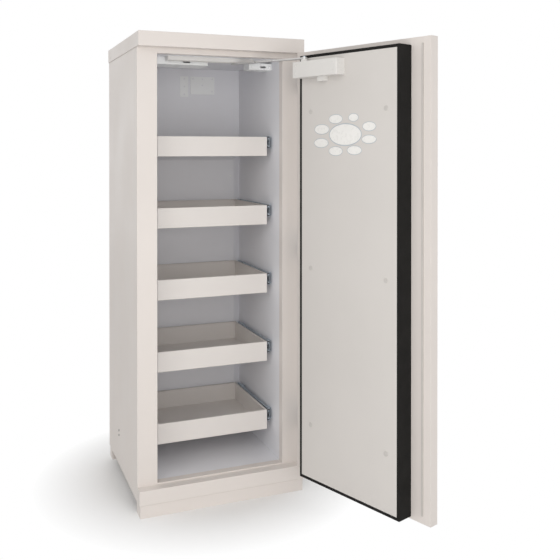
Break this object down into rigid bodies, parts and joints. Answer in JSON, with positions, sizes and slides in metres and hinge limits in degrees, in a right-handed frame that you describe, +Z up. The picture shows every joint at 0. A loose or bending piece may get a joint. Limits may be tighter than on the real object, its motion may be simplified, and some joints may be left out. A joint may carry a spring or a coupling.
{
  "type": "reagent drawer cabinet",
  "caption": "Fire-resistant laboratory cabinet with a plug door, self-closing arm and shallow full-extension trays for bottles.",
  "frame": {"origin": "on the floor, in the middle of the width, below the plane of the body's front frame, on the front plinth's lower face", "axes": "+X to the right seen from the front, +Y to the back, +Z up"},
  "size_m": [0.8227, 1.1864, 1.685],
  "materials": {
    "housing_paint": "fine satin powder coat, light warm grey",
    "tray_paint": "smooth satin powder coat, light grey",
    "core_board": "raw mineral-fibre insulating board, out of sight",
    "liner_board": "light grey melamine board",
    "white_cover": "white powder coat",
    "panel_board": "light grey coated board, nearly matt",
    "panel_caps": "moulded caps",
    "gasket_black": "black intumescent strip",
    "seal_grey": "light grey smoke seal",
    "zinc": "bright zinc-plated sheet",
    "closer_paint": "satin paint, warm white",
    "closer_metal": "satin paint, light grey",
    "roller_nylon": "natural nylon",
    "handle_grey": "dark grey moulded handle",
    "brass": "plain brass"
  },
  "bodies": {
    "root": {"casing_left": "housing_paint", "casing_right": "housing_paint", "casing_back": "housing_paint", "casing_bottom": "housing_paint", "core_left": "core_board", "core_right": "core_board", "core_back": "core_board", "core_top": "core_board", "core_bottom": "core_board", "liner_left": "liner_board", "liner_right": "liner_board", "liner_back": "liner_board", "ceiling_panel": "liner_board", "floor_panel": "liner_board", "stile_left": "housing_paint", "stile_right": "housing_paint", "rail_top": "housing_paint", "rail_bottom": "housing_paint", "top_cap": "housing_paint", "exhaust_collar": "zinc", "base_cornice": "housing_paint", "plinth_front": "housing_paint", "plinth_rear": "housing_paint", "earth_stud": "brass", "duct_cover": "liner_board", "vent_plates": "white_cover", "ceiling_box_left": "white_cover", "ceiling_box_right": "white_cover", "closer_rail": "zinc", "slide_outers": "zinc", "slide_brackets": "zinc", "hinge_frame_leaves": "housing_paint", "hinge_pins": "zinc"},
    "door": {"door_skin": "housing_paint", "door_core": "core_board", "plug_core": "core_board", "plug_gasket": "gasket_black", "inner_panel": "panel_board", "panel_caps": "panel_caps", "smoke_seal": "seal_grey", "hinge_door_leaves": "housing_paint", "closer_housing": "closer_paint", "pull_handle": "handle_grey"},
    "closer_arm": {"closer_arm": "closer_metal"},
    "closer_roller": {"closer_roller": "roller_nylon"},
    "tray_1": {"tray_1": "tray_paint", "slide_inner_1": "zinc"},
    "slide_middle_1": {"slide_middle_1": "zinc"},
    "tray_2": {"tray_2": "tray_paint", "slide_inner_2": "zinc"},
    "slide_middle_2": {"slide_middle_2": "zinc"},
    "tray_3": {"tray_3": "tray_paint", "slide_inner_3": "zinc"},
    "slide_middle_3": {"slide_middle_3": "zinc"},
    "tray_4": {"tray_4": "tray_paint", "slide_inner_4": "zinc"},
    "slide_middle_4": {"slide_middle_4": "zinc"},
    "tray_5": {"tray_5": "tray_paint", "slide_inner_5": "zinc"},
    "slide_middle_5": {"slide_middle_5": "zinc"}
  },
  "joints": [
    {"name": "door_hinge", "type": "hinge", "parent": "root", "child": "door", "pos_m": [0.3, -0.038, 0], "axis": [0, 0, 1], "range_deg": [-109.5, 10.5]},
    {"name": "closer_arm_turn", "type": "hinge", "parent": "door", "child": "closer_arm", "pos_m": [0.23542, -0.18817, 1.55], "axis": [0, 0, 1], "range_deg": [-16.3, 168.8]},
    {"name": "closer_roller_spin", "type": "hinge", "parent": "closer_arm", "child": "closer_roller", "pos_m": [0.07357, 0.0795, 1.56], "axis": [0, 0, 1], "continuous": true},
    {"name": "tray_1_slide", "type": "slide", "parent": "root", "child": "tray_1", "axis": [0, -1, 0], "range_m": [0, 0.35]},
    {"name": "slide_middle_1_slide", "type": "slide", "parent": "root", "child": "slide_middle_1", "axis": [0, -1, 0], "range_m": [0, 0.175]},
    {"name": "tray_2_slide", "type": "slide", "parent": "root", "child": "tray_2", "axis": [0, -1, 0], "range_m": [0, 0.35]},
    {"name": "slide_middle_2_slide", "type": "slide", "parent": "root", "child": "slide_middle_2", "axis": [0, -1, 0], "range_m": [0, 0.175]},
    {"name": "tray_3_slide", "type": "slide", "parent": "root", "child": "tray_3", "axis": [0, -1, 0], "range_m": [0, 0.35]},
    {"name": "slide_middle_3_slide", "type": "slide", "parent": "root", "child": "slide_middle_3", "axis": [0, -1, 0], "range_m": [0, 0.175]},
    {"name": "tray_4_slide", "type": "slide", "parent": "root", "child": "tray_4", "axis": [0, -1, 0], "range_m": [0, 0.35]},
    {"name": "slide_middle_4_slide", "type": "slide", "parent": "root", "child": "slide_middle_4", "axis": [0, -1, 0], "range_m": [0, 0.175]},
    {"name": "tray_5_slide", "type": "slide", "parent": "root", "child": "tray_5", "axis": [0, -1, 0], "range_m": [0, 0.35]},
    {"name": "slide_middle_5_slide", "type": "slide", "parent": "root", "child": "slide_middle_5", "axis": [0, -1, 0], "range_m": [0, 0.175]}
  ],
  "couplings": [
    {"joint": "closer_arm_turn", "follows": "door_hinge", "ratio": -1.541},
    {"joint": "slide_middle_1_slide", "follows": "tray_1_slide", "ratio": 0.5},
    {"joint": "slide_middle_2_slide", "follows": "tray_2_slide", "ratio": 0.5},
    {"joint": "slide_middle_3_slide", "follows": "tray_3_slide", "ratio": 0.5},
    {"joint": "slide_middle_4_slide", "follows": "tray_4_slide", "ratio": 0.5},
    {"joint": "slide_middle_5_slide", "follows": "tray_5_slide", "ratio": 0.5}
  ]
}
